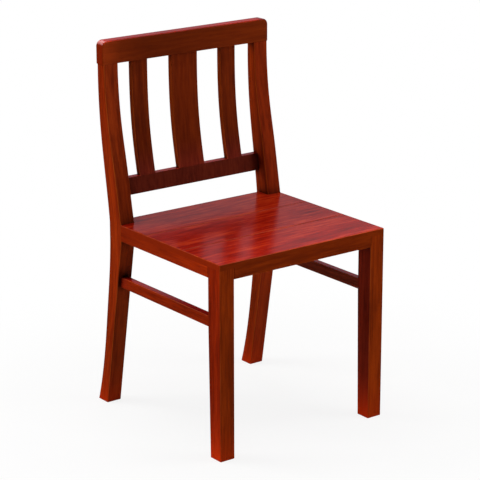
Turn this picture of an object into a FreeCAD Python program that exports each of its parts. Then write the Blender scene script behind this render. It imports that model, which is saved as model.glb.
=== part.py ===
import FreeCAD, Part
import math
import os

Vector = FreeCAD.Vector

# A wooden side chair with a slatted back, in millimetres.
# +Z is up, the sitter faces -Y, and the origin is on the floor under the middle of the chair.
# Left and right are as seen from the front, so right is +X.

# Seat
seat_height = 450.0          # top of the seat above the floor
seat_width = 458.6           # over the outer faces of legs and aprons
seat_depth = 413.5           # front edge to the back edge between the rear legs
seat_thickness = 14.0
seat_board_names = ["front", "middle", "rear"]   # glued edge to edge, grain from side to side
seat_edge_round = 2.5
notch_clearance = 0.3        # between the seat's rear notches and the rear legs

# Front legs
front_leg_width = 38.5
front_leg_depth = 44.0       # from the seat down to the stretcher
front_foot_depth = 38.0      # the rear face tapers below the stretcher
leg_edge_round = 2.5
foot_chamfer = 0.8

# Rear legs, one sawn piece each from the floor to the crest rail
rear_leg_width = 37.8
rear_leg_seat_depth = 46.0   # front to back where the aprons meet it
rear_leg_standout = 8.0      # rear face behind the seat's back edge
rear_leg_flat_below = 7.0    # how far the flat for the aprons runs on below them
rear_foot_depth = 38.0
rear_foot_sweep = 62.0       # rear face of the foot behind the rear face at the seat
post_top_depth = 27.5
post_top_rake = 36.0         # rear face of the post's top behind the rear face at the seat
# The shin's rear face, as shares of the drop from the flat to the floor and of the foot's sweep
shin_shares = [(0.0, 0.0), (0.18, 0.08), (0.38, 0.24), (0.73, 0.57), (1.0, 1.0)]
# The post's rear and front faces, as shares of the rise from the seat to the top and of each
# face's own way back
post_rear_shares = [(0.0, 0.0), (0.14, 0.18), (0.36, 0.515), (0.59, 0.825), (0.81, 0.98), (1.0, 1.0)]
post_front_shares = [(0.0, 0.0), (0.14, 0.17), (0.36, 0.44), (0.59, 0.755), (0.81, 0.945), (1.0, 1.0)]

# Aprons under the seat
apron_height = 24.5
apron_thickness = 20.0
rear_apron_inset = 2.0       # rear face in front of the seat's back edge
apron_edge_round = 1.5

# Side stretchers
stretcher_top = 321.5        # above the floor
stretcher_height = 25.5
stretcher_thickness = 18.0
stretcher_inset = 8.5        # outer face inside the legs' outer faces
stretcher_edge_round = 2.5

# Back
crest_top = 861.0            # above the floor
crest_height = 53.0
crest_overhang = 2.4         # past the outer face of each post
crest_standout = 1.0         # rear face behind the posts' rear faces; the front faces are flush
crest_corner_round = 14.0    # upper corners seen from the front
crest_edge_round = 3.5
flush_edge_round = 0.8       # along the crest's underside and the lower rail's top, where slats meet them
lower_rail_lift = 53.5       # underside above the seat
lower_rail_height = 40.0
lower_rail_thickness = 17.0  # brings its front face flush with the slats
lower_rail_edge_round = 2.0
slat_thickness = 13.5
# A slat's rear face, as shares of the posts' rise and rake: near the lower rail it stands in front
# of the posts' rear faces
slat_rear_shares = [(0.0, -0.24), (0.29, 0.326), (0.42, 0.582), (0.59, 0.83), (0.81, 0.98), (1.0, 1.0)]
slat_edge_round = 2.0
side_slat_width = 43.3
center_slat_width = 73.3
side_slat_offset = 124.0     # middle of a side slat from the middle of the chair

# Glued joints
tenon_thickness = 9.0
tenon_length = 20.0
tenon_shoulder = 3.0         # above and below a tenon
tenon_wall = 2.0             # wood left between two tenons in one leg
slat_tenon_thickness = 7.0
slat_tenon_length = 12.0
slat_tenon_shoulder = 4.0    # at each side of a slat's tenon
joint_clearance = 0.15       # round a tenon or dowel
glue_space = 1.0             # past the end of a tenon, dowel or screw
dowel_diameter = 9.0
dowel_length = 40.0
dowel_spacing = 17.0         # between the two dowels in a post

# Corner blocks and screws
block_height = 20.0
block_reach = 46.0           # along each apron
block_leg_gap = 1.0          # between the block's notch and the leg
screw_diameter = 4.0
screw_clearance = 0.2        # round a shank or head
screw_head_diameter = 8.0
screw_head_height = 2.6
screw_recess_width = 1.2
screw_recess_length = 4.6
screw_recess_depth = 1.3
block_screw_length = 30.0
block_screw_bite = 12.0      # depth in the apron
block_screw_share = 0.45     # of the block's reach, from the leg
seat_screw_bite = 9.0        # depth in the seat

# How closely an edge has to match when it is picked for rounding
place_tolerance = 1e-6
angle_tolerance = 0.01

# Places that follow from the sizes above
half_width = seat_width / 2
seat_underside = seat_height - seat_thickness
apron_bottom = seat_underside - apron_height
block_bottom = seat_underside - block_height
stretcher_bottom = stretcher_top - stretcher_height
post_top = crest_top - crest_height
lower_rail_bottom = seat_height + lower_rail_lift
lower_rail_top = lower_rail_bottom + lower_rail_height
flat_bottom = apron_bottom - rear_leg_flat_below
chair_depth = seat_depth + rear_leg_standout + rear_foot_sweep
front = -chair_depth / 2
front_leg_rear = front + front_leg_depth
seat_back = front + seat_depth
leg_flat_rear = seat_back + rear_leg_standout
leg_flat_front = leg_flat_rear - rear_leg_seat_depth
foot_rear = leg_flat_rear + rear_foot_sweep
foot_front = foot_rear - rear_foot_depth
top_rear = leg_flat_rear + post_top_rake
top_front = top_rear - post_top_depth
crest_rear = top_rear + crest_standout
rear_apron_rear = seat_back - rear_apron_inset
rear_apron_front = rear_apron_rear - apron_thickness
leg_inner = half_width - front_leg_width
post_inner = half_width - rear_leg_width
side_apron_inner = half_width - apron_thickness
side_apron_middle = half_width - apron_thickness / 2
stretcher_outer = half_width - stretcher_inset
stretcher_middle = stretcher_outer - stretcher_thickness / 2


# Shared shapes

def box(x_limits, y_limits, z_limits):
    low = Vector(x_limits[0], y_limits[0], z_limits[0])
    return Part.makeBox(x_limits[1] - low.x, y_limits[1] - low.y, z_limits[1] - low.z, low)


def around(middle, size):
    return (middle - size / 2, middle + size / 2)


def widened(limits, margin):
    return (limits[0] - margin, limits[1] + margin)


def mirrored(shape):
    return shape.mirror(Vector(0, 0, 0), Vector(1, 0, 0))


def both_sides(shape):
    return [shape, mirrored(shape)]


def prism(points, direction):
    return Part.Face(Part.makePolygon(points + points[:1])).extrude(direction)


def mortise(tenon, axis):
    # The tenon's box with room round it, and more at its end.
    margins = [glue_space if name == axis else joint_clearance for name in "xyz"]
    return box(*[widened(limits, margin) for limits, margin in zip(tenon, margins)])


def runs_along(edge, direction):
    span = edge.Vertexes[-1].Point - edge.Vertexes[0].Point
    return abs(math.sin(span.getAngle(direction))) < angle_tolerance


def at_height(edge, height):
    return all(abs(vertex.Z - height) < place_tolerance for vertex in edge.Vertexes)


def at_depth(edge, depth):
    return all(abs(vertex.Y - depth) < place_tolerance for vertex in edge.Vertexes)


def at_side(edge, side):
    return all(abs(abs(vertex.X) - side) < place_tolerance for vertex in edge.Vertexes)


def fillet(shape, radius, wanted):
    return shape.makeFillet(radius, [edge for edge in shape.Edges if wanted(edge)])


# Tenons on the right side, each as its limits along X, Y and Z

def apron_tenon_heights():
    return widened((apron_bottom, seat_underside), -tenon_shoulder)


def stretcher_tenon_heights():
    return widened((stretcher_bottom, stretcher_top), -tenon_shoulder)


def front_apron_tenon():
    depth = around(front + apron_thickness / 2, tenon_thickness)
    return ((leg_inner, leg_inner + tenon_length), depth, apron_tenon_heights())


def rear_apron_tenon():
    # It stops short of the side apron's tenon in the same leg.
    end = side_apron_middle - tenon_thickness / 2 - tenon_wall - glue_space
    depth = around(rear_apron_rear - apron_thickness / 2, tenon_thickness)
    return ((post_inner, end), depth, apron_tenon_heights())


def side_apron_front_tenon():
    width = around(side_apron_middle, tenon_thickness)
    return (width, (front_leg_rear - tenon_length, front_leg_rear), apron_tenon_heights())


def side_apron_rear_tenon():
    width = around(side_apron_middle, tenon_thickness)
    return (width, (leg_flat_front, leg_flat_front + tenon_length), apron_tenon_heights())


def stretcher_front_tenon():
    width = around(stretcher_middle, tenon_thickness)
    return (width, (front_leg_rear - tenon_length, front_leg_rear), stretcher_tenon_heights())


def stretcher_rear_tenon():
    # It starts inside the stretcher, because the rear leg's front face slants.
    width = around(stretcher_middle, tenon_thickness)
    start = leg_front_at(stretcher_top) - tenon_length
    end = leg_front_at(stretcher_bottom) + tenon_length
    return (width, (start, end), stretcher_tenon_heights())


# Rear legs, and the strips in the back that follow them

def leg_front_at(height):
    # The lower front face is straight from the foot to the flat.
    return foot_front + (leg_flat_front - foot_front) * height / flat_bottom


def smooth_edge(points):
    curve = Part.BSplineCurve()
    curve.interpolate(points)
    return curve.toShape()


def face_points(shares, starts, ends):
    # Points of a face from the place where it starts, as depth and height, to where it ends.
    depth = ends[0] - starts[0]
    height = ends[1] - starts[1]
    return [Vector(0, starts[0] + depth * back, starts[1] + height * up) for up, back in shares]


def back_points(shares, inset):
    # A face that goes back with the posts' rear faces from the seat up, moved forwards by the inset.
    return face_points(shares, (leg_flat_rear - inset, seat_height), (top_rear - inset, post_top))


def rear_leg_blank():
    shin_rear = face_points(shin_shares, (leg_flat_rear, flat_bottom), (foot_rear, 0))
    post_rear = back_points(post_rear_shares, 0)
    post_front = face_points(post_front_shares, (leg_flat_front, seat_height), (top_front, post_top))
    toe = Vector(0, foot_front, 0)
    knee = Vector(0, leg_flat_front, flat_bottom)
    edges = [
        Part.makeLine(shin_rear[-1], toe),
        Part.makeLine(toe, knee),
        Part.makeLine(knee, post_front[0]),
        smooth_edge(post_front),
        Part.makeLine(post_front[-1], post_rear[-1]),
        smooth_edge(post_rear),
        Part.makeLine(post_rear[0], shin_rear[0]),
        smooth_edge(shin_rear),
    ]
    outline = Part.Wire(Part.__sortEdges__(edges))
    blank = Part.Face(outline).extrude(Vector(rear_leg_width, 0, 0))
    blank.translate(Vector(post_inner, 0, 0))
    across = Vector(1, 0, 0)
    blank = fillet(blank, leg_edge_round, lambda edge: not (
        runs_along(edge, across) or at_height(edge, 0) or at_height(edge, post_top)))
    return blank.makeChamfer(foot_chamfer, [edge for edge in blank.Edges if at_height(edge, 0)])


def back_strip(shares, inset, thickness, x_limits, z_limits):
    # A strip that goes back with the posts, carried straight up past their tops.
    rear = back_points(shares, inset)
    ahead = back_points(shares, inset + thickness)
    up = Vector(0, 0, crest_height)
    edges = [
        smooth_edge(rear),
        Part.makeLine(rear[-1], rear[-1] + up),
        Part.makeLine(rear[-1] + up, ahead[-1] + up),
        Part.makeLine(ahead[-1] + up, ahead[-1]),
        smooth_edge(ahead),
        Part.makeLine(ahead[0], rear[0]),
    ]
    sheet = Part.Face(Part.Wire(Part.__sortEdges__(edges)))
    strip = sheet.extrude(Vector(x_limits[1] - x_limits[0], 0, 0))
    strip.translate(Vector(x_limits[0], 0, 0))
    return strip.common(box(x_limits, (front, foot_rear), z_limits))


def lower_rail_tenon(margin, end_space):
    inset = (lower_rail_thickness - tenon_thickness) / 2 - margin
    heights = widened((lower_rail_bottom, lower_rail_top), margin - tenon_shoulder)
    ends = (post_inner, post_inner + tenon_length + end_space)
    return back_strip(post_rear_shares, inset, tenon_thickness + 2 * margin, ends, heights)


def slat_tenon(middle, width, heights, margin):
    inset = (slat_thickness - slat_tenon_thickness) / 2 - margin
    sides = widened(around(middle, width), margin - slat_tenon_shoulder)
    return back_strip(slat_rear_shares, inset, slat_tenon_thickness + 2 * margin, sides, heights)


def slat_places():
    return {
        "left": (-side_slat_offset, side_slat_width),
        "center": (0.0, center_slat_width),
        "right": (side_slat_offset, side_slat_width),
    }


# Screws and dowels

def along(shape, start, direction):
    placed = shape.copy()
    placed.Placement = FreeCAD.Placement(start, FreeCAD.Rotation(Vector(0, 0, 1), direction))
    return placed


def screw(head_seat, direction, length):
    # The head sits behind its seat, with a cross recess in its end.
    shank = Part.makeCylinder(screw_diameter / 2, length)
    head = Part.makeCylinder(screw_head_diameter / 2, screw_head_height, Vector(0, 0, -screw_head_height))
    long_way = around(0, screw_recess_length)
    short_way = around(0, screw_recess_width)
    floor = (-screw_head_height, screw_recess_depth - screw_head_height)
    recess = box(long_way, short_way, floor).fuse(box(short_way, long_way, floor))
    return along(shank.fuse(head).removeSplitter().cut(recess), head_seat, direction)


def screw_hole(head_seat, direction, length):
    # Room for the shank past its tip, and for the head and the driver behind it.
    shank = Part.makeCylinder(screw_diameter / 2 + screw_clearance, length + glue_space)
    room = block_reach
    head = Part.makeCylinder(screw_head_diameter / 2 + screw_clearance, room, Vector(0, 0, -room))
    return along(shank.fuse(head), head_seat, direction)


def block_corners(end):
    # Notch corner, apron face and step along Y from the notch, for the front or the rear right block.
    if end == "front":
        notch = Vector(leg_inner - block_leg_gap, front_leg_rear + block_leg_gap, 0)
        return notch, front + apron_thickness, 1
    notch = Vector(post_inner - block_leg_gap, leg_flat_front - block_leg_gap, 0)
    return notch, rear_apron_front, -1


def block_outline(end):
    notch, apron_face, step = block_corners(end)
    return [
        Vector(notch.x, apron_face, block_bottom),
        Vector(notch.x - block_reach, apron_face, block_bottom),
        Vector(side_apron_inner, notch.y + step * block_reach, block_bottom),
        Vector(side_apron_inner, notch.y, block_bottom),
        Vector(notch.x, notch.y, block_bottom),
    ]


def block_screws(end):
    # Head seat, direction and length of the screw into each apron.
    notch, apron_face, step = block_corners(end)
    middle = block_bottom + block_height / 2
    away = block_reach * block_screw_share
    standoff = block_screw_length - block_screw_bite
    into_end = Vector(notch.x - away, apron_face + step * standoff, middle)
    into_side = Vector(side_apron_inner - standoff, notch.y + step * away, middle)
    return [
        (into_end, Vector(0, -step, 0), block_screw_length),
        (into_side, Vector(1, 0, 0), block_screw_length),
    ]


def seat_screw(end):
    # Halfway between the block's notch and the middle of its long face.
    points = block_outline(end)
    face_middle = (points[1] + points[2]) * 0.5
    return ((points[4] + face_middle) * 0.5, Vector(0, 0, 1), block_height + seat_screw_bite)


def dowel_middles():
    # On the joint between the right post and the crest rail.
    middle = half_width - rear_leg_width / 2
    depth = top_rear - post_top_depth / 2
    return [Vector(x, depth, post_top) for x in around(middle, dowel_spacing)]


def dowel(middle, margin, end_space):
    length = dowel_length + 2 * end_space
    return Part.makeCylinder(dowel_diameter / 2 + margin, length, middle - Vector(0, 0, length / 2))


def dowel_holes():
    return [dowel(middle, joint_clearance, glue_space) for middle in dowel_middles()]


# Pieces

def front_leg():
    points = [
        Vector(leg_inner, front, 0),
        Vector(leg_inner, front + front_foot_depth, 0),
        Vector(leg_inner, front_leg_rear, stretcher_bottom),
        Vector(leg_inner, front_leg_rear, seat_underside),
        Vector(leg_inner, front, seat_underside),
    ]
    across = Vector(1, 0, 0)
    leg = prism(points, Vector(front_leg_width, 0, 0))
    leg = fillet(leg, leg_edge_round, lambda edge: not (
        runs_along(edge, across) or at_height(edge, 0) or at_height(edge, seat_underside)))
    leg = leg.makeChamfer(foot_chamfer, [edge for edge in leg.Edges if at_height(edge, 0)])
    return leg.cut([
        mortise(front_apron_tenon(), "x"),
        mortise(side_apron_front_tenon(), "y"),
        mortise(stretcher_front_tenon(), "y"),
    ])


def rear_leg():
    return rear_leg_blank().cut([
        mortise(rear_apron_tenon(), "x"),
        mortise(side_apron_rear_tenon(), "y"),
        mortise(stretcher_rear_tenon(), "y"),
        lower_rail_tenon(joint_clearance, glue_space),
    ] + dowel_holes())


def apron_screw_holes(end):
    holes = [screw_hole(*place) for place in block_screws(end)]
    return [copy for hole in holes for copy in both_sides(hole)]


def cross_apron(end, inner, y_limits, tenon):
    across = Vector(1, 0, 0)
    body = box((-inner, inner), y_limits, (apron_bottom, seat_underside))
    body = fillet(body, apron_edge_round, lambda edge: (
        runs_along(edge, across) and at_height(edge, apron_bottom)))
    return body.fuse(both_sides(box(*tenon))).cut(apron_screw_holes(end))


def front_apron():
    return cross_apron("front", leg_inner, (front, front + apron_thickness), front_apron_tenon())


def rear_apron():
    return cross_apron("rear", post_inner, (rear_apron_front, rear_apron_rear), rear_apron_tenon())


def side_apron():
    lengthways = Vector(0, 1, 0)
    heights = (apron_bottom, seat_underside)
    body = box((side_apron_inner, half_width), (front_leg_rear, leg_flat_front), heights)
    body = fillet(body, apron_edge_round, lambda edge: (
        runs_along(edge, lengthways) and at_height(edge, apron_bottom)))
    body = body.fuse([box(*side_apron_front_tenon()), box(*side_apron_rear_tenon())])
    return body.cut(apron_screw_holes("front") + apron_screw_holes("rear"))


def side_stretcher():
    inner = stretcher_outer - stretcher_thickness
    points = [
        Vector(inner, front_leg_rear, stretcher_bottom),
        Vector(inner, leg_front_at(stretcher_bottom), stretcher_bottom),
        Vector(inner, leg_front_at(stretcher_top), stretcher_top),
        Vector(inner, front_leg_rear, stretcher_top),
    ]
    lengthways = Vector(0, 1, 0)
    body = prism(points, Vector(stretcher_thickness, 0, 0))
    body = fillet(body, stretcher_edge_round, lambda edge: runs_along(edge, lengthways))
    return body.fuse([box(*stretcher_front_tenon()), box(*stretcher_rear_tenon())])


def crest_rail():
    inwards = Vector(0, 1, 0)
    half_length = half_width + crest_overhang
    depth = (top_front, crest_rear)
    rail = box((-half_length, half_length), depth, (post_top, crest_top))
    rail = fillet(rail, crest_corner_round, lambda edge: (
        runs_along(edge, inwards) and at_height(edge, crest_top)))
    rail = fillet(rail, crest_edge_round, lambda edge: (
        (at_depth(edge, depth[0]) or at_depth(edge, depth[1])) and not at_height(edge, post_top)))
    rail = fillet(rail, flush_edge_round, lambda edge: at_height(edge, post_top))
    holes = [copy for hole in dowel_holes() for copy in both_sides(hole)]
    heights = (post_top - glue_space, post_top + slat_tenon_length + glue_space)
    holes += [slat_tenon(*place, heights, joint_clearance) for place in slat_places().values()]
    return rail.cut(holes)


def lower_back_rail():
    across = Vector(1, 0, 0)
    heights = (lower_rail_bottom, lower_rail_top)
    rail = back_strip(post_rear_shares, 0, lower_rail_thickness, (-post_inner, post_inner), heights)
    rail = fillet(rail, lower_rail_edge_round, lambda edge: (
        runs_along(edge, across) and at_height(edge, lower_rail_bottom)))
    rail = fillet(rail, flush_edge_round, lambda edge: (
        runs_along(edge, across) and at_height(edge, lower_rail_top)))
    rail = rail.fuse(both_sides(lower_rail_tenon(0, 0)))
    mortises = (lower_rail_top - slat_tenon_length - glue_space, lower_rail_top + glue_space)
    return rail.cut([slat_tenon(*place, mortises, joint_clearance) for place in slat_places().values()])


def back_slat(middle, width):
    across = Vector(1, 0, 0)
    body = back_strip(slat_rear_shares, 0, slat_thickness, around(middle, width), (lower_rail_top, post_top))
    body = fillet(body, slat_edge_round, lambda edge: not (
        runs_along(edge, across) or at_height(edge, lower_rail_top) or at_height(edge, post_top)))
    below = slat_tenon(middle, width, (lower_rail_top - slat_tenon_length, lower_rail_top), 0)
    above = slat_tenon(middle, width, (post_top, post_top + slat_tenon_length), 0)
    return body.fuse([below, above])


def on_seat_rim(edge):
    return at_side(edge, half_width) or at_depth(edge, front) or at_depth(edge, seat_back)


def seat_board(number):
    step = seat_depth / len(seat_board_names)
    depth = (front + number * step, front + (number + 1) * step)
    board = box((-half_width, half_width), depth, (seat_underside, seat_height))
    notch = box(
        (post_inner - notch_clearance, half_width),
        (leg_flat_front - notch_clearance, seat_back),
        (seat_underside, seat_height))
    board = board.cut(both_sides(notch))
    upright = Vector(0, 0, 1)
    board = fillet(board, seat_edge_round, lambda edge: (
        at_height(edge, seat_height) and on_seat_rim(edge)
        or runs_along(edge, upright) and at_depth(edge, front)))
    holes = [screw_hole(*seat_screw(end)) for end in ("front", "rear")]
    return board.cut([copy for hole in holes for copy in both_sides(hole)])


def corner_block(end):
    block = prism(block_outline(end), Vector(0, 0, block_height))
    return block.cut([screw_hole(*place) for place in block_screws(end) + [seat_screw(end)]])


def grouped(shapes):
    return Part.makeCompound([copy for shape in shapes for copy in both_sides(shape)])


def chair():
    ends = ("front", "rear")
    pieces = {
        "front_apron": front_apron(),
        "rear_apron": rear_apron(),
        "crest_rail": crest_rail(),
        "lower_back_rail": lower_back_rail(),
        "crest_dowels": grouped([dowel(middle, 0, 0) for middle in dowel_middles()]),
        "corner_block_screws": grouped([screw(*place) for end in ends for place in block_screws(end)]),
        "seat_screws": grouped([screw(*seat_screw(end)) for end in ends]),
    }
    paired = {
        "front_leg": front_leg(),
        "rear_leg": rear_leg(),
        "side_apron": side_apron(),
        "side_stretcher": side_stretcher(),
        "corner_block_front": corner_block("front"),
        "corner_block_rear": corner_block("rear"),
    }
    for name, shape in paired.items():
        pieces[name + "_right"] = shape
        pieces[name + "_left"] = mirrored(shape)
    for name, place in slat_places().items():
        pieces["back_slat_" + name] = back_slat(*place)
    for number, name in enumerate(seat_board_names):
        pieces["seat_board_" + name] = seat_board(number)
    return pieces


os.makedirs("parts", exist_ok=True)
for node, shape in chair().items():
    shape.exportStep("parts/" + node + ".step")
    state = "valid" if shape.isValid() else "not valid"
    print(node, len(shape.Solids), "solid", round(shape.Volume / 1000, 2), "cm3", state)
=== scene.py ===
import math
import bpy
from mathutils import Matrix, Vector


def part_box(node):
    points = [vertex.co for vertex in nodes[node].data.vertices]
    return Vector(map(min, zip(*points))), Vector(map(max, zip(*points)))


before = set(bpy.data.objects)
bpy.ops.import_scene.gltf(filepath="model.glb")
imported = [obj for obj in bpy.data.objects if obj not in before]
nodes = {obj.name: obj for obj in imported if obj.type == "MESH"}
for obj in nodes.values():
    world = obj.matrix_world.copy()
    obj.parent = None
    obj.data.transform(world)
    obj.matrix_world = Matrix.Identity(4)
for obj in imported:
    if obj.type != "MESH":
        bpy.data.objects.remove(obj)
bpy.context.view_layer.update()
scene = bpy.context.scene
scene.view_settings.view_transform = "Standard"
print("frame loaded:", len(nodes), "nodes")

# heights that the bowed grain follows, in metres, read off the frame
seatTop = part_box("seat_board_front")[1][2]
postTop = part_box("rear_leg_left")[1][2]
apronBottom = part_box("side_apron_left")[0][2]


# shared helpers

def srgb(code):
    # hex colour as written in sRGB, turned to linear RGBA
    parts = [int(code[i:i + 2], 16) / 255 for i in (1, 3, 5)]
    linear = [c / 12.92 if c <= 0.04045 else ((c + 0.055) / 1.055) ** 2.4 for c in parts]
    return linear + [1.0]


def addNode(tree, kind, inputs=None, **settings):
    # one node with its own settings; an input takes a socket to link or a plain value
    node = tree.nodes.new(kind)
    for field, value in settings.items():
        setattr(node, field, value)
    for key, value in (inputs or {}).items():
        socket = node.inputs[key]
        if isinstance(value, bpy.types.NodeSocket):
            tree.links.new(value, socket)
        else:
            socket.default_value = value
    return node


def newMaterial(name):
    material = bpy.data.materials.new(name)
    material.use_nodes = True
    material.node_tree.nodes.clear()
    return material, material.node_tree


def perMetre(millimetres):
    # noise scale whose features are about this wide
    return 1000 / millimetres


noiseSpan = (0.3, 0.7)             # where the values of a noise texture mostly lie
figureStep = (0.37, 0.53, 0.71)    # metres that the figure moves from one piece to the next


# stained and lacquered hardwood: red-brown stain that lies streaky in straight grain; the flat tops are
# rubbed out to a mirror gloss, the upright faces stay satin; each way a face looks has its own stain, with
# the tops painted redder and the side faces redder than the fronts, which paints the light and shade each
# facing gets
lacquered = {
    "side": "#812104",             # stain on the faces to the left and right, painted redder than the fronts for the light from the left
    "front": "#812b06",            # on the faces to the front and back
    "top": "#951407",
    "dark": (0.56, 0.52, 0.6),     # red, green and blue of a dense band over that stain
    "light": (1.46, 1.62, 1.46),   # and of a pale band that drank less of it
    "topDark": (0.6, 0.55, 0.7),
    "topLight": (1.45, 1.7, 1.6),
    "bandMm": 24,                  # width of the broad bands
    "streakMm": 5,                 # of the streaks inside them
    "fibreMm": 1.4,                # of the finest fibres that still show
    "stretch": 15,                 # length of a streak over its width
    "figureShares": {"band": 0.4, "streak": 0.45, "fibre": 0.15},
    "figureStops": (0.36, 0.5, 0.64),    # figure at a dense band, the plain stain and a pale band
    "endEven": 0.8,                # how far end grain loses the figure
    "pore": "#3a0d05",
    "poreMm": 0.8,
    "poreStretch": 26,
    "poreDip": (0.36, 0.28),       # noise where a pore starts and where it is full
    "poreShare": 0.45,
    "rubbedAndHighlit": "#b4501c",           # stain rubbed thin along the arrises, and a painted highlight there
    "rubAndHighlightShare": 0.8,
    "rubAndHighlightSlant": (0.93, 0.75),      # longest part of the normal where rubbing starts and is full
    "foot": "#c8320a",             # painted light bounced up from the floor: the colour the legs run to at the floor
    "footMm": 240,                 # height from which it does so
    "footPower": 5.0,
    "footShare": (1.25, 0.4),      # how far, on side and front faces
    "cornerShadeMm": 40,                # reach of the painted shade in inner corners
    "cornerShadeShare": 0.85,
    "cornerShadeOpen": (0.45, 0.92),    # openness of a full corner and of a clear face
    "cornerShadeRays": 8,
    "floorSpared": (0.09, 0.04),   # metres up where the painted corner shade fades out above the floor
    "crestSpared": (0.7, 0.79),    # and below the flush joint of the crest
    "shadeAndLightDrifts": (),                  # slow changes of tone, mostly painted light and shade: faces, axis, metres from and to, tones there
    "casts": (),                   # tints along a piece: faces, axis, metres from and to, tint
    "rakeMm": 0,                   # how far the grain bows back from the seat up to the crest
    "sweepMm": 0,                  # and from the aprons down to the foot
    "sweepPower": 1.5,
    "topLean": (0.2, 0.8),         # part of the normal where a face starts to count as a top and is one
    "frontLean": (0.45, 0.85),     # as a front or back
    "endLean": (0.7, 0.95),        # as end grain
    "roughness": 0.45,
    "glossSwing": 0.06,            # roughness added or taken by the bands
    "sideCoat": 0.02,
    "topCoat": 0.25,
    "coatRoughness": 0.17,
    "coatIor": 1.5,
    "bump": 0.06,
    "bumpMm": 0.3,
}

# seat boards: broader figure in crimson and orange, worn paler at the front edge; the top is painted
# lighter towards the front and darker towards the back, where the backrest shades it
seatBoards = {
    **lacquered,
    "top": "#911607",
    "dark": (0.74, 0.72, 0.76),
    "light": (1.24, 1.32, 1.24),
    "topDark": (0.52, 0.5, 0.63),
    "topLight": (1.6, 3.9, 2.8),
    "bandMm": 48,
    "streakMm": 9,
    "fibreMm": 3.5,
    "stretch": 7.5,
    "rubAndHighlightShare": 0.5,
    "cornerShadeShare": 0.3,
    "shadeAndLightDrifts": (
        ("top", "Y", -0.06, -0.24, 1.0, 1.5),
        ("top", "Y", 0.0, 0.17, 1.0, 0.84),
        ("top", "X", -0.2, 0.2, 0.94, 1.06),
        ("end", "Y", 0.17, -0.24, 1.08, 1.42),
    ),
    "coatRoughness": 0.2,
    "bump": 0.14,
}

# pieces that leave the common look: the rear legs and slats have grain that follows their bow, the rails
# are more even, faces turned inwards keep a browner stain without the painted reddening of faces lit from
# the left, the slats turn plum at their lower ends, and the drifts paint light and shade on each piece
bowed = {**lacquered, "rakeMm": 36, "sweepMm": 62}
inward = {**bowed, "side": "#812b06", "front": "#81290e"}
even = {"dark": (0.66, 0.62, 0.7), "light": (1.36, 1.5, 1.35), "bandMm": 60}
plumFoot = (("front", "Z", 0.606, 0.549, (1.24, 1.18, 3.4)),)
lookOf = {
    "seat_board": seatBoards,
    # drifts paint shade on its front face, above the seat and in a narrow band lower down
    "rear_leg_left": {
        **bowed, "side": "#812404", "front": "#812b0d", "footShare": (0.7, 0.4), "cornerShadeMm": 60,
        "shadeAndLightDrifts": (("front", "Z", 0.5, 0.7, 1.0, 1.32), ("all", "Z", 0.75, 0.15, 1.14, 0.93),
                   ("fore", "Z", 0.35, 0.325, 1.0, 0.5), ("fore", "Z", 0.3, 0.285, 1.0, 2.0))},
    "rear_leg_right": {**inward, "side": "#812706", "front": "#81270c", "footShare": (0.7, 0.4)},
    "back_slat_center": {
        **inward, **even, "front": "#812d0d", "shadeAndLightDrifts": (("front", "Z", 0.59, 0.8, 0.86, 1.2),),
        "casts": plumFoot},
    "back_slat": {
        **inward, "front": "#812d0e", "shadeAndLightDrifts": (("front", "Z", 0.59, 0.8, 0.88, 1.22),),
        "casts": plumFoot},
    "lower_back_rail": {
        **lacquered, **even, "side": "#812b06", "front": "#812f1e", "rubAndHighlightShare": 0.2,
        "shadeAndLightDrifts": (("front", "X", -0.155, -0.185, 1.0, 0.6),)},
    # the crest's drifts paint a highlight on its upper left corner and the light and shade along its front
    # and top
    "crest_rail": {
        **lacquered, **even, "dark": (0.77, 0.74, 0.79), "light": (1.22, 1.3, 1.22),
        "front": "#812e0d", "rubAndHighlightShare": 0.12,
        "shadeAndLightDrifts": (("front", "X", -0.14, 0.2, 0.82, 1.14), ("front", "X", -0.11, -0.19, 1.0, 1.5),
                   ("front", "X", -0.185, -0.23, 1.0, 1.75), ("top", "X", -0.12, 0.2, 0.88, 1.12),
                   ("top", "X", -0.17, -0.22, 1.0, 1.6), ("top", "X", 0.2, 0.225, 1.0, 0.3))},
    # drifts paint the shade below the seat and the floor's bounce light near the foot
    "front_leg_left": {
        **lacquered, "side": "#811e04", "cornerShadeShare": 0.35,
        "shadeAndLightDrifts": (("all", "Z", 0.4, 0.24, 1.12, 0.9), ("all", "Z", 0.2, 0.05, 1.0, 1.18))},
    "front_apron": {**lacquered, **even, "cornerShadeShare": 0.35},
    "front_leg_right": {
        **lacquered, "side": "#812412",
        "shadeAndLightDrifts": (("front", "Z", 0.4, 0.26, 1.14, 0.96), ("front", "Z", 0.26, 0.08, 1.0, 1.12))},
    "side_apron_left": {
        **lacquered, **even, "cornerShadeShare": 0.5, "shadeAndLightDrifts": (("all", "Y", 0.14, -0.2, 0.76, 1.24),)},
    # the drift and the cast near the rear leg paint the leg's shadow on the stretcher
    "side_stretcher_left": {
        **lacquered, "cornerShadeMm": 60,
        "shadeAndLightDrifts": (("top", "Y", 0.1, -0.2, 1.35, 0.9), ("top", "Y", 0.115, 0.15, 1.0, 0.25)),
        "casts": (("all", "Y", 0.115, 0.15, (0.85, 0.7, 2.5)),)},
    "side_stretcher_right": {**lacquered, "side": "#81311c"},
}


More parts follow.
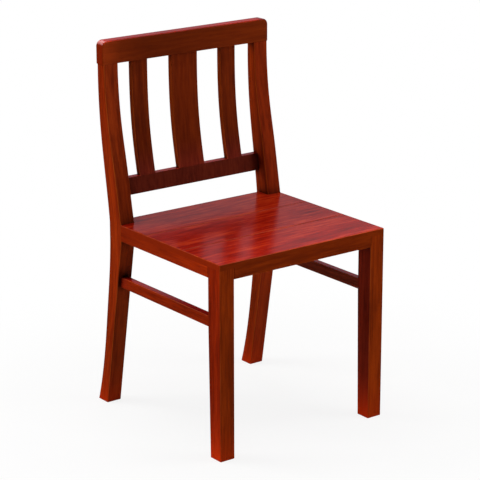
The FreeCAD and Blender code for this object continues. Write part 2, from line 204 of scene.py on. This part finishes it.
def lacqueredWood(name, grain, look, shift, plankAndShadeTones):
    # grain is the axis the fibres follow; shift moves the figure so no two pieces match; tones are how
    # light the piece is on its side, front and top faces: partly its own plank, partly painted light and
    # shade for how each facing is lit
    material, tree = newMaterial(name)
    place = addNode(tree, "ShaderNodeTexCoord").outputs["Object"]
    where = addNode(tree, "ShaderNodeSeparateXYZ", {0: place}).outputs
    face = addNode(tree, "ShaderNodeNewGeometry").outputs

    # which way the face looks, each from 0 to 1: up, to the front or back, to the front alone, and
    # along the grain
    normal = addNode(tree, "ShaderNodeSeparateXYZ", {0: face["Normal"]}).outputs
    depthwise = addNode(tree, "ShaderNodeMath", {0: normal["Y"]}, operation="ABSOLUTE").outputs[0]
    forwards = addNode(tree, "ShaderNodeMath", {0: normal["Y"], 1: -1.0}, operation="MULTIPLY").outputs[0]
    endwise = addNode(tree, "ShaderNodeMath", {0: normal[grain]}, operation="ABSOLUTE").outputs[0]
    faces = {"all": 1.0}
    for key, part, leanKey, blend in (
            ("top", normal["Z"], "topLean", "SMOOTHSTEP"), ("front", depthwise, "frontLean", "SMOOTHSTEP"),
            ("fore", forwards, "frontLean", "SMOOTHSTEP"), ("end", endwise, "endLean", "LINEAR")):
        start, full = look[leanKey]
        faces[key] = addNode(tree, "ShaderNodeMapRange", {
            "Value": part, "From Min": start, "From Max": full}, interpolation_type=blend).outputs[0]

    # figure: bands, streaks and fibres drawn out along the grain; end grain takes the stain evenly
    straight = place
    if look["rakeMm"]:
        # depth less the bow: a quarter wave from seat to crest, a power of the height from aprons to floor
        rise = addNode(tree, "ShaderNodeMapRange", {
            "Value": where["Z"], "From Min": seatTop, "From Max": postTop,
            "To Max": math.pi / 2}).outputs[0]
        rise = addNode(tree, "ShaderNodeMath", {0: rise}, operation="SINE").outputs[0]
        drop = addNode(tree, "ShaderNodeMapRange", {
            "Value": where["Z"], "From Min": apronBottom, "From Max": 0.0}).outputs[0]
        drop = addNode(tree, "ShaderNodeMath", {
            0: drop, 1: look["sweepPower"]}, operation="POWER").outputs[0]
        depth = where["Y"]
        for bow, key in ((rise, "rakeMm"), (drop, "sweepMm")):
            depth = addNode(tree, "ShaderNodeMath", {
                0: bow, 1: -look[key] / 1000, 2: depth}, operation="MULTIPLY_ADD").outputs[0]
        straight = addNode(tree, "ShaderNodeCombineXYZ", {
            0: where["X"], 1: depth, 2: where["Z"]}).outputs[0]
    noise = {}
    for key, sizeKey, ratioKey, detail in (
            ("band", "bandMm", "stretch", 2.0), ("streak", "streakMm", "stretch", 3.0),
            ("fibre", "fibreMm", "stretch", 2.0), ("pore", "poreMm", "poreStretch", 1.0)):
        scale = [1 / look[ratioKey] if axis == grain else 1.0 for axis in "XYZ"]
        along = addNode(tree, "ShaderNodeMapping", {
            "Vector": straight, "Location": shift, "Scale": scale}).outputs[0]
        noise[key] = addNode(tree, "ShaderNodeTexNoise", {
            "Vector": along, "Scale": perMetre(look[sizeKey]), "Detail": detail}).outputs["Fac"]
    figure = 0.0
    for key, share in look["figureShares"].items():
        figure = addNode(tree, "ShaderNodeMath", {
            0: noise[key], 1: share, 2: figure}, operation="MULTIPLY_ADD").outputs[0]
    plain = look["figureStops"][1]
    evenly = addNode(tree, "ShaderNodeMath", {
        0: faces["end"], 1: look["endEven"]}, operation="MULTIPLY").outputs[0]
    figure = addNode(tree, "ShaderNodeMix", {"Factor": evenly, "A": figure, "B": plain}).outputs[0]

    # stain: a ramp over the figure for each way a face looks, in that facing's own colour and tone, which
    # paint the light and shade it gets
    stainAndShadeByFace = []
    for code, dark, light, tone in (
            ("side", "dark", "light", plankAndShadeTones[0]), ("front", "dark", "light", plankAndShadeTones[1]),
            ("top", "topDark", "topLight", plankAndShadeTones[2])):
        ramp = addNode(tree, "ShaderNodeValToRGB", {"Fac": figure})
        ramp.color_ramp.elements.new(plain)
        shares = (look[dark], (1.0, 1.0, 1.0), look[light])
        for element, stop, share in zip(ramp.color_ramp.elements, look["figureStops"], shares):
            element.position = stop
            element.color = [tone * s * c for s, c in zip(share, srgb(look[code]))] + [1.0]
        stainAndShadeByFace.append(ramp.outputs[0])
    colour = addNode(tree, "ShaderNodeMix", {
        "Factor": faces["front"], "A": stainAndShadeByFace[0], "B": stainAndShadeByFace[1]}, data_type="RGBA").outputs[2]
    colour = addNode(tree, "ShaderNodeMix", {
        "Factor": faces["top"], "A": colour, "B": stainAndShadeByFace[2]}, data_type="RGBA").outputs[2]

    # pores: short dark dashes where the finest noise dips
    dash = addNode(tree, "ShaderNodeMapRange", {
        "Value": noise["pore"], "From Min": look["poreDip"][0], "From Max": look["poreDip"][1],
        "To Max": look["poreShare"]}).outputs[0]
    colour = addNode(tree, "ShaderNodeMix", {
        "Factor": dash, "A": colour, "B": srgb(look["pore"])}, data_type="RGBA").outputs[2]

    # arrises: on the rounded edges the normal slants away from all three axes, and there the stain is
    # rubbed thin in patches and lightened as a painted highlight; the streaks average a half, so the share
    # is doubled
    square = depthwise
    for axis in "XZ":
        along = addNode(tree, "ShaderNodeMath", {0: normal[axis]}, operation="ABSOLUTE").outputs[0]
        square = addNode(tree, "ShaderNodeMath", {0: square, 1: along}, operation="MAXIMUM").outputs[0]
    rubAndHighlight = addNode(tree, "ShaderNodeMapRange", {
        "Value": square, "From Min": look["rubAndHighlightSlant"][0], "From Max": look["rubAndHighlightSlant"][1],
        "To Max": 2 * look["rubAndHighlightShare"]}).outputs[0]
    rubAndHighlight = addNode(tree, "ShaderNodeMath", {0: rubAndHighlight, 1: noise["streak"]}, operation="MULTIPLY").outputs[0]
    colour = addNode(tree, "ShaderNodeMix", {
        "Factor": rubAndHighlight, "A": colour, "B": srgb(look["rubbedAndHighlit"])}, data_type="RGBA").outputs[2]

    # feet: painted light bounced up from the floor, paler towards the floor by (1 - height / its reach) to
    # a power
    floorGlowMask = addNode(tree, "ShaderNodeMapRange", {
        "Value": where["Z"], "From Min": look["footMm"] / 1000, "From Max": 0.0}).outputs[0]
    floorGlowMask = addNode(tree, "ShaderNodeMath", {0: floorGlowMask, 1: look["footPower"]}, operation="POWER").outputs[0]
    most = addNode(tree, "ShaderNodeMapRange", {
        "Value": faces["front"], "To Min": look["footShare"][0],
        "To Max": look["footShare"][1]}).outputs[0]
    floorGlowMask = addNode(tree, "ShaderNodeMath", {0: floorGlowMask, 1: most}, operation="MULTIPLY").outputs[0]
    colour = addNode(tree, "ShaderNodeMix", {
        "Factor": floorGlowMask, "A": colour, "B": srgb(look["foot"])}, data_type="RGBA").outputs[2]

    # inner corners: painted shade darkens them, but not at the floor nor along the flush joint of the
    # crest
    cornerShade = addNode(tree, "ShaderNodeAmbientOcclusion", {
        "Distance": look["cornerShadeMm"] / 1000}, samples=look["cornerShadeRays"]).outputs["AO"]
    clear = addNode(tree, "ShaderNodeMapRange", {
        "Value": cornerShade, "From Min": look["cornerShadeOpen"][0], "From Max": look["cornerShadeOpen"][1],
        "To Min": 1 - look["cornerShadeShare"]}).outputs[0]
    for key, spared in (("floorSpared", "all"), ("crestSpared", "front")):
        start, full = look[key]
        fade = addNode(tree, "ShaderNodeMapRange", {
            "Value": where["Z"], "From Min": start, "From Max": full}).outputs[0]
        fade = addNode(tree, "ShaderNodeMath", {
            0: fade, 1: faces[spared]}, operation="MULTIPLY").outputs[0]
        clear = addNode(tree, "ShaderNodeMath", {0: clear, 1: fade}, operation="MAXIMUM").outputs[0]

    # slow changes of tone and tint over the piece, on the faces they belong to; the tone changes mostly
    # paint light and shade
    tone = clear
    for key, axis, start, stop, startTone, stopTone in look["shadeAndLightDrifts"]:
        drift = addNode(tree, "ShaderNodeMapRange", {
            "Value": where[axis], "From Min": start, "From Max": stop,
            "To Min": startTone, "To Max": stopTone}).outputs[0]
        drift = addNode(tree, "ShaderNodeMix", {"Factor": faces[key], "A": 1.0, "B": drift}).outputs[0]
        tone = addNode(tree, "ShaderNodeMath", {0: tone, 1: drift}, operation="MULTIPLY").outputs[0]
    colour = addNode(tree, "ShaderNodeVectorMath", {
        0: colour, "Scale": tone}, operation="SCALE").outputs[0]
    for key, axis, start, stop, tint in look["casts"]:
        near = addNode(tree, "ShaderNodeMapRange", {
            "Value": where[axis], "From Min": start, "From Max": stop}).outputs[0]
        near = addNode(tree, "ShaderNodeMath", {0: near, 1: faces[key]}, operation="MULTIPLY").outputs[0]
        colour = addNode(tree, "ShaderNodeMix", {
            "Factor": near, "A": colour, "B": (*tint, 1.0)},
            data_type="RGBA", blend_type="MULTIPLY").outputs[2]

    # lacquer: sinks a little over fibres and pores, satin on the sides and mirror gloss on the tops
    gloss = addNode(tree, "ShaderNodeMapRange", {
        "Value": noise["band"], "From Min": noiseSpan[0], "From Max": noiseSpan[1],
        "To Min": look["roughness"] - look["glossSwing"],
        "To Max": look["roughness"] + look["glossSwing"]}).outputs[0]
    coat = addNode(tree, "ShaderNodeMapRange", {
        "Value": faces["top"], "To Min": look["sideCoat"], "To Max": look["topCoat"]}).outputs[0]
    sink = addNode(tree, "ShaderNodeMath", {0: noise["fibre"], 1: dash}, operation="SUBTRACT").outputs[0]
    bump = addNode(tree, "ShaderNodeBump", {
        "Strength": look["bump"], "Distance": look["bumpMm"] / 1000, "Height": sink}).outputs[0]
    shader = addNode(tree, "ShaderNodeBsdfPrincipled", {
        "Base Color": colour,
        "Roughness": gloss,
        "Specular IOR Level": 0.0,    # the coat alone shines
        "Coat Weight": coat,
        "Coat Roughness": look["coatRoughness"],
        "Coat IOR": look["coatIor"],
        "Normal": bump,
    })
    addNode(tree, "ShaderNodeOutputMaterial", {"Surface": shader.outputs[0]})
    return material


# planed and bare hardwood for the blocks and dowels that never show from a chair's height
bareWood = {
    "dark": "#a9794a",
    "light": "#d2a876",
    "streakMm": 5,
    "stretch": 18,
    "roughness": 0.68,
    "bump": 0.15,
    "bumpMm": 0.4,
}


def planedWood(name, grain, look, shift):
    material, tree = newMaterial(name)
    place = addNode(tree, "ShaderNodeTexCoord").outputs["Object"]
    scale = [1 / look["stretch"] if axis == grain else 1.0 for axis in "XYZ"]
    along = addNode(tree, "ShaderNodeMapping", {
        "Vector": place, "Location": shift, "Scale": scale}).outputs[0]
    streak = addNode(tree, "ShaderNodeTexNoise", {
        "Vector": along, "Scale": perMetre(look["streakMm"]), "Detail": 4.0,
        "Roughness": 0.6}).outputs["Fac"]
    stain = addNode(tree, "ShaderNodeValToRGB", {"Fac": streak})
    for element, stop, code in zip(stain.color_ramp.elements, noiseSpan, ("dark", "light")):
        element.position = stop
        element.color = srgb(look[code])
    bump = addNode(tree, "ShaderNodeBump", {
        "Strength": look["bump"], "Distance": look["bumpMm"] / 1000, "Height": streak}).outputs[0]
    shader = addNode(tree, "ShaderNodeBsdfPrincipled", {
        "Base Color": stain.outputs[0], "Roughness": look["roughness"], "Normal": bump})
    addNode(tree, "ShaderNodeOutputMaterial", {"Surface": shader.outputs[0]})
    return material


# zinc-plated steel of the screws: pale, slightly blue metal with cloudy gloss
screwSteel = {
    "colour": "#b9bcbf",
    "dull": "#8f9498",
    "cloudMm": 1.5,
    "roughness": 0.32,
    "glossSwing": 0.1,
}


def zincSteel(name, look):
    material, tree = newMaterial(name)
    place = addNode(tree, "ShaderNodeTexCoord").outputs["Object"]
    cloud = addNode(tree, "ShaderNodeTexNoise", {
        "Vector": place, "Scale": perMetre(look["cloudMm"]), "Detail": 3.0}).outputs["Fac"]
    colour = addNode(tree, "ShaderNodeMix", {
        "Factor": cloud, "A": srgb(look["dull"]), "B": srgb(look["colour"])}, data_type="RGBA").outputs[2]
    gloss = addNode(tree, "ShaderNodeMapRange", {
        "Value": cloud, "To Min": look["roughness"] - look["glossSwing"],
        "To Max": look["roughness"] + look["glossSwing"]}).outputs[0]
    shader = addNode(tree, "ShaderNodeBsdfPrincipled", {
        "Base Color": colour, "Metallic": 1.0, "Roughness": gloss})
    addNode(tree, "ShaderNodeOutputMaterial", {"Surface": shader.outputs[0]})
    return material


# which way the grain runs in each piece, and how light it is on side, front and top faces: partly its own
# plank, partly painted light and shade for how each facing is lit
grainOf = {
    "front_leg": "Z", "rear_leg": "Z", "back_slat": "Z", "lower_back_rail": "Z",
    "front_apron": "X", "rear_apron": "X", "crest_rail": "X", "seat_board": "X",
    "side_apron": "Y", "side_stretcher": "Y", "corner_block": "X", "crest_dowels": "Z",
}
plankAndShadeToneOf = {
    "back_slat_center": (0.7, 0.82, 0.8),
    "back_slat_left": (0.53, 0.64, 0.8),
    "back_slat_right": (0.86, 0.71, 0.8),
    "crest_rail": (0.94, 0.76, 0.97),
    "lower_back_rail": (0.5, 0.52, 0.77),
    "front_apron": (0.9, 0.93, 0.9),
    "rear_apron": (0.9, 0.83, 0.9),
    "side_apron": (1.36, 1.2, 1.0),
    "front_leg_left": (1.12, 0.94, 1.0),
    "front_leg_right": (0.85, 1.0, 1.0),
    "rear_leg_left": (1.14, 0.75, 1.0),
    "rear_leg_right": (1.06, 0.94, 1.0),
    "side_stretcher_left": (1.24, 1.2, 1.05),
    "side_stretcher_right": (0.74, 0.8, 1.02),
    "seat_board": (0.98, 0.89, 0.94),
}


def startingWith(table, name, other):
    # the entry whose key begins the piece's name
    return next((value for key, value in table.items() if name.startswith(key)), other)


for number, (name, obj) in enumerate(sorted(nodes.items())):
    grain = startingWith(grainOf, name, "X")
    shift = [step * number for step in figureStep]
    if "screw" in name:
        material = zincSteel("zinc_plated_steel." + name, screwSteel)
    elif "block" in name or "dowel" in name:
        material = planedWood("planed_bare_hardwood." + name, grain, bareWood, shift)
    else:
        plankAndShadeTones = startingWith(plankAndShadeToneOf, name, (1.0, 1.0, 1.0))
        look = startingWith(lookOf, name, lacquered)
        if look is seatBoards:
            shift = [0.0, 0.0, 0.0]    # one figure runs across the glued boards
        material = lacqueredWood("lacquered_hardwood." + name, grain, look, shift, plankAndShadeTones)
    obj.material_slots[0].material = material
print("finishes on", len(nodes), "nodes")


# floor: a plain white sweep; the chair's shadow stays on it close by, and it fades to pure white
floorLook = {
    "halfSize": 30.0,
    "colour": "#f4f3f1",
    "mottleMm": 333,
    "shadowShare": 0.14,     # how much of the shadow and shade is seen close to the chair
    "fadeFrom": 0.35,        # metres from the middle of the chair
    "fadeTo": 1.0,
}


def makeFloor(look):
    half = look["halfSize"]
    mesh = bpy.data.meshes.new("studio_floor")
    corners = [(-half, -half, 0), (half, -half, 0), (half, half, 0), (-half, half, 0)]
    mesh.from_pydata(corners, [], [(0, 1, 2, 3)])
    floor = bpy.data.objects.new("studio_floor", mesh)
    scene.collection.objects.link(floor)
    material, tree = newMaterial("matt_white_paper")
    place = addNode(tree, "ShaderNodeTexCoord").outputs["Object"]
    mottle = addNode(tree, "ShaderNodeTexNoise", {
        "Vector": place, "Scale": perMetre(look["mottleMm"]), "Detail": 2.0}).outputs["Fac"]
    paper = addNode(tree, "ShaderNodeMix", {
        "Factor": mottle, "A": srgb(look["colour"]), "B": srgb("#ffffff")}, data_type="RGBA")
    matt = addNode(tree, "ShaderNodeBsdfDiffuse", {"Color": paper.outputs[2]})
    white = addNode(tree, "ShaderNodeEmission", {"Strength": 1.0})
    ray = addNode(tree, "ShaderNodeLightPath")
    seen = addNode(tree, "ShaderNodeMath", {
        0: ray.outputs["Is Camera Ray"], 1: ray.outputs["Is Glossy Ray"]}, operation="MAXIMUM")
    seen = addNode(tree, "ShaderNodeMath", {
        0: seen.outputs[0], 1: ray.outputs["Is Transmission Ray"]}, operation="MAXIMUM")
    away = addNode(tree, "ShaderNodeVectorMath", {0: place}, operation="LENGTH")
    lit = addNode(tree, "ShaderNodeMapRange", {
        "Value": away.outputs["Value"], "From Min": look["fadeFrom"], "From Max": look["fadeTo"],
        "To Min": 1 - look["shadowShare"], "To Max": 1.0}, interpolation_type="SMOOTHSTEP")
    share = addNode(tree, "ShaderNodeMath", {0: seen.outputs[0], 1: lit.outputs[0]}, operation="MULTIPLY")
    both = addNode(tree, "ShaderNodeMixShader", {
        0: share.outputs[0], 1: matt.outputs[0], 2: white.outputs[0]})
    addNode(tree, "ShaderNodeOutputMaterial", {"Surface": both.outputs[0]})
    mesh.materials.append(material)


makeFloor(floorLook)


# light: soft boxes overhead, behind to the left and in front on both sides, in a dim room; the strip
# box behind shines on the crest rail alone and shows only as a gleam along its rounded edges
worldLook = {"level": 0.05, "mirrored": "#f3f1ff"}
lamps = {
    "top_soft_box": {"place": (0.0, 0.0, 3.0), "size": 2.0, "power": 44.0, "gleam": False},
    "left_soft_box": {"place": (-2.0, 1.8, 2.0), "size": 1.6, "power": 53.0, "gleam": False},
    "right_soft_box": {"place": (2.2, -2.0, 1.8), "size": 1.6, "power": 37.0, "gleam": False},
    "front_fill_box": {"place": (-2.2, -2.6, 1.6), "size": 1.6, "power": 7.0, "gleam": False},
    "rear_strip_box": {"place": (-0.48, 2.66, 2.45), "size": 2.6, "power": 215.0, "gleam": True},
}
lampAim = (0.0, 0.0, 0.4)


def makeLamp(name, look):
    data = bpy.data.lights.new(name, "AREA")
    data.size = look["size"]
    data.energy = look["power"]
    lamp = bpy.data.objects.new(name, data)
    lamp.location = look["place"]
    lamp.rotation_euler = (Vector(lampAim) - Vector(look["place"])).to_track_quat("-Z", "Y").to_euler()
    lamp.visible_glossy = look["gleam"]
    lamp.visible_diffuse = not look["gleam"]
    if look["gleam"]:
        lit = bpy.data.collections.new(name + "_lit")
        lit.objects.link(nodes["crest_rail"])
        lamp.light_linking.receiver_collection = lit
    scene.collection.objects.link(lamp)


def makeWorld(look):
    world = bpy.data.worlds.new("white_studio")
    scene.world = world
    world.use_nodes = True
    tree = world.node_tree
    tree.nodes.clear()
    ray = addNode(tree, "ShaderNodeLightPath")
    seen = addNode(tree, "ShaderNodeMath", {
        0: ray.outputs["Is Camera Ray"], 1: ray.outputs["Is Glossy Ray"]}, operation="MAXIMUM")
    seen = addNode(tree, "ShaderNodeMath", {
        0: seen.outputs[0], 1: ray.outputs["Is Transmission Ray"]}, operation="MAXIMUM")
    level = addNode(tree, "ShaderNodeMapRange", {
        "Value": seen.outputs[0], "To Min": look["level"], "To Max": 1.0})
    mirrored = ray.outputs["Is Glossy Ray"]
    tint = addNode(tree, "ShaderNodeMix", {
        "Factor": mirrored, "A": srgb("#ffffff"), "B": srgb(look["mirrored"])}, data_type="RGBA")
    sky = addNode(tree, "ShaderNodeBackground", {
        "Color": tint.outputs[2], "Strength": level.outputs[0]})
    addNode(tree, "ShaderNodeOutputWorld", {"Surface": sky.outputs[0]})


for name, look in lamps.items():
    makeLamp(name, look)
makeWorld(worldLook)
print("light:", len(lamps), "soft boxes and the room")


# camera: the photo's own place and angle, worked out from the chair's straight edges
cameraLook = {
    "place": (-2.61885, -3.48064, 1.73424),
    "yawDeg": 37.0271,       # to the right of straight back
    "pitchDeg": 16.9654,     # below level
    "rollDeg": 0.10,
    "lensMm": 150.18,
    "sensorMm": 36.0,
}


def makeCamera(look):
    yaw, pitch, roll = (math.radians(look[key]) for key in ("yawDeg", "pitchDeg", "rollDeg"))
    ahead = Vector((math.sin(yaw) * math.cos(pitch), math.cos(yaw) * math.cos(pitch), -math.sin(pitch)))
    right = Vector((math.cos(yaw), -math.sin(yaw), 0))
    down = ahead.cross(right)
    tiltedRight = math.cos(roll) * right + math.sin(roll) * down
    tiltedDown = math.cos(roll) * down - math.sin(roll) * right
    data = bpy.data.cameras.new("photo_camera")
    data.lens = look["lensMm"]
    data.sensor_width = look["sensorMm"]
    camera = bpy.data.objects.new("photo_camera", data)
    turn = Matrix((tiltedRight, -tiltedDown, -ahead)).transposed().to_4x4()
    camera.matrix_world = Matrix.Translation(look["place"]) @ turn
    scene.collection.objects.link(camera)
    scene.camera = camera


makeCamera(cameraLook)
print("camera set")
